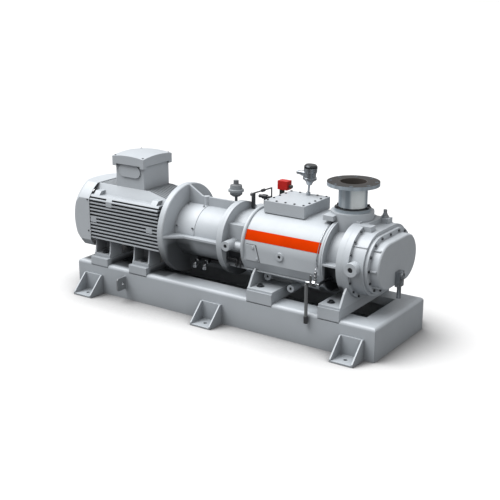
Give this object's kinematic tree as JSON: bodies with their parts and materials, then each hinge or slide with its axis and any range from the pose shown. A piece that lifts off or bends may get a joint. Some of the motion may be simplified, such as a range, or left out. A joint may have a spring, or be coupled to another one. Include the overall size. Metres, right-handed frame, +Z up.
{
  "type": "dry screw vacuum pump",
  "caption": "Motor-driven dry screw vacuum pump on a welded base frame, with coupling lantern, meshing screw rotors, timing gears, flanged inlet stub and drain valve.",
  "frame": {"origin": "middle of the floor bolt rectangle, on the underside of the base frame", "axes": "+X along the drive axis from the motor to the gear cover, +Y to the rear, +Z up"},
  "size_m": [2.518, 0.974, 1.0585],
  "materials": {
    "frame_paint": "semi-gloss light grey paint",
    "motor_paint": "semi-gloss light grey paint on cast iron",
    "cowl_paint": "semi-gloss light grey paint on sheet steel",
    "pump_paint": "semi-gloss light grey paint on cast iron",
    "guard_paint": "semi-gloss light grey paint on sheet steel",
    "bolt_steel": "zinc-plated steel",
    "winding_steel": "stacked steel sheet with varnished windings",
    "rotor_steel": "stacked steel sheet",
    "shaft_steel": "ground steel",
    "bearing_steel": "ground bearing steel",
    "fan_plastic": "moulded black plastic",
    "hub_iron": "machined cast iron",
    "spider_rubber": "moulded elastomer",
    "label_orange": "bare printed film",
    "stub_zinc": "zinc-plated steel, bluish",
    "screw_iron": "machined cast iron",
    "gear_steel": "hardened ground steel",
    "filter_grey": "grey moulded housing",
    "fitting_steel": "plated steel fittings",
    "switch_red": "red moulded housing",
    "transmitter_grey": "grey coated die casting",
    "fitting_dark": "blackened steel fittings",
    "fitting_chrome": "nickel-plated brass",
    "pipe_grey": "grey pipe"
  },
  "bodies": {
    "frame": {"front_rail": "frame_paint", "rear_rail": "frame_paint", "motor_end_rail": "frame_paint", "pump_end_rail": "frame_paint", "front_foot_motor": "frame_paint", "front_foot_middle": "frame_paint", "front_foot_pump": "frame_paint", "rear_foot_motor": "frame_paint", "rear_foot_middle": "frame_paint", "rear_foot_pump": "frame_paint", "motor_beam_fan_end": "frame_paint", "motor_beam_drive_end": "frame_paint", "pump_beam_discharge": "frame_paint", "pump_beam_suction": "frame_paint", "hold_down_bolts": "bolt_steel", "motor_frame": "motor_paint", "motor_drive_shield": "motor_paint", "motor_fan_shield": "motor_paint", "fan_cowl": "cowl_paint", "terminal_box": "motor_paint", "terminal_box_lid": "motor_paint", "cable_entry_plate": "motor_paint", "motor_stator": "winding_steel", "motor_bearings": "bearing_steel", "lantern": "pump_paint", "coupling_guards": "guard_paint", "motor_flange_bolts": "bolt_steel", "discharge_housing": "pump_paint", "screw_housing": "pump_paint", "jacket_cover": "pump_paint", "side_cover": "pump_paint", "label_strip": "label_orange", "suction_housing": "pump_paint", "inlet_stub": "stub_zinc", "gear_housing": "pump_paint", "gear_cover": "pump_paint", "pump_bolts": "bolt_steel", "rotor_bearings": "bearing_steel", "pump_foot_discharge": "pump_paint", "pump_foot_suction": "pump_paint", "vent_filter": "filter_grey", "purge_line": "fitting_steel", "switch_box": "switch_red", "temperature_transmitter": "transmitter_grey", "water_connections": "fitting_dark", "oil_filler_plug": "fitting_steel", "oil_sight_glass": "transmitter_grey", "drain_valve": "fitting_chrome", "drain_pipe": "pipe_grey"},
    "drive_train": {"motor_rotor": "rotor_steel", "motor_shaft": "shaft_steel", "motor_fan": "fan_plastic", "motor_coupling_hub": "hub_iron", "coupling_spider": "spider_rubber", "pump_coupling_hub": "hub_iron", "drive_screw": "screw_iron", "drive_timing_gear": "gear_steel"},
    "driven_train": {"driven_screw": "screw_iron", "driven_timing_gear": "gear_steel"},
    "valve_lever": {"drain_lever": "fitting_chrome"}
  },
  "joints": [
    {"name": "drive_spin", "type": "hinge", "parent": "frame", "child": "drive_train", "pos_m": [0, -0.07, 0.541], "axis": [1, 0, 0], "continuous": true},
    {"name": "driven_spin", "type": "hinge", "parent": "frame", "child": "driven_train", "pos_m": [0.5, 0.162, 0.541], "axis": [1, 0, 0], "continuous": true},
    {"name": "drain_lever_turn", "type": "hinge", "parent": "frame", "child": "valve_lever", "pos_m": [0.802, -0.388, 0.436], "axis": [0, 1, 0], "range_deg": [0, 90]}
  ],
  "couplings": [
    {"joint": "driven_spin", "follows": "drive_spin", "ratio": -1}
  ]
}
